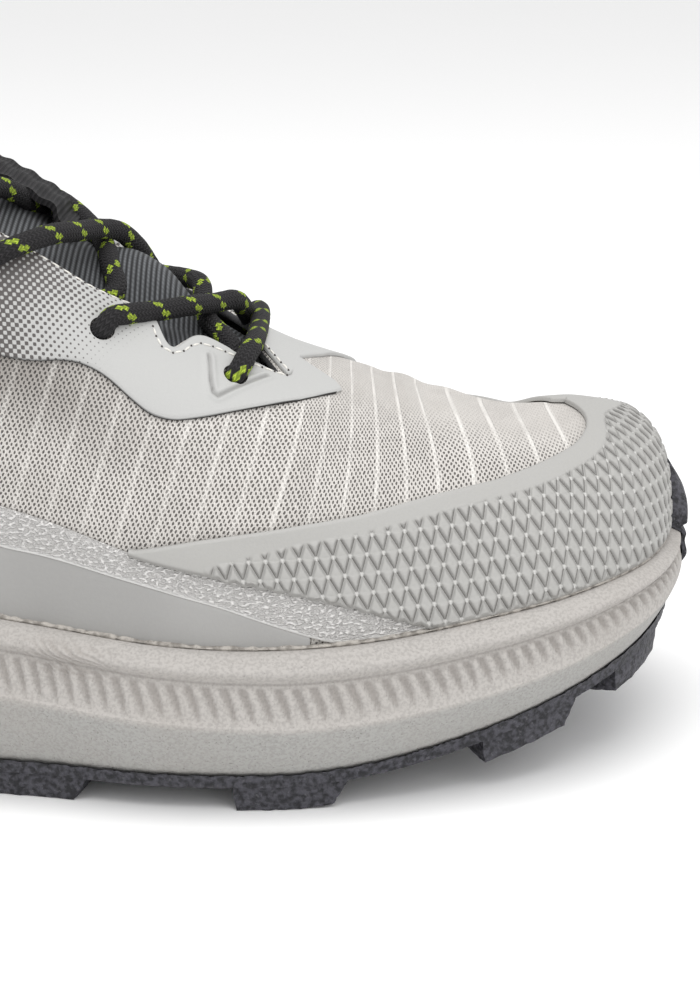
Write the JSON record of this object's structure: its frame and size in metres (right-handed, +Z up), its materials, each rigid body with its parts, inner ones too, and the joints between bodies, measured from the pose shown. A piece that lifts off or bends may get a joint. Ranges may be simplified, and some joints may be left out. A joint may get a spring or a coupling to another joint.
{
  "type": "trail running shoe",
  "caption": "Low trail running shoe for the right foot: knitted upper with moulded film overlays, laced tongue, ribbed foam midsole and lugged rubber outsole.",
  "frame": {"origin": "middle of the bounding box in plan, on the floor plane that the lugs stand on", "axes": "+X from heel to toe, +Y towards the inner (medial) side of the foot, +Z up"},
  "size_m": [0.2956, 0.1082, 0.1444],
  "materials": {
    "rubber": "matt moulded rubber",
    "foam": "matt moulded foam",
    "knit": "knitted mesh",
    "film": "satin moulded film",
    "webbing": "ribbed textile",
    "cord": "round braid",
    "lining": "soft lining"
  },
  "bodies": {
    "root": {"outsole": "rubber", "midsole": "foam", "upper": "knit", "toe_cap": "film", "side_band": "film", "heel_rand": "film", "eyestay": "film", "tongue": "webbing", "insole": "lining", "lace_bar": "cord", "lace_cross_1": "cord", "lace_cross_2": "cord", "lace_cross_3": "cord"}
  },
  "joints": []
}
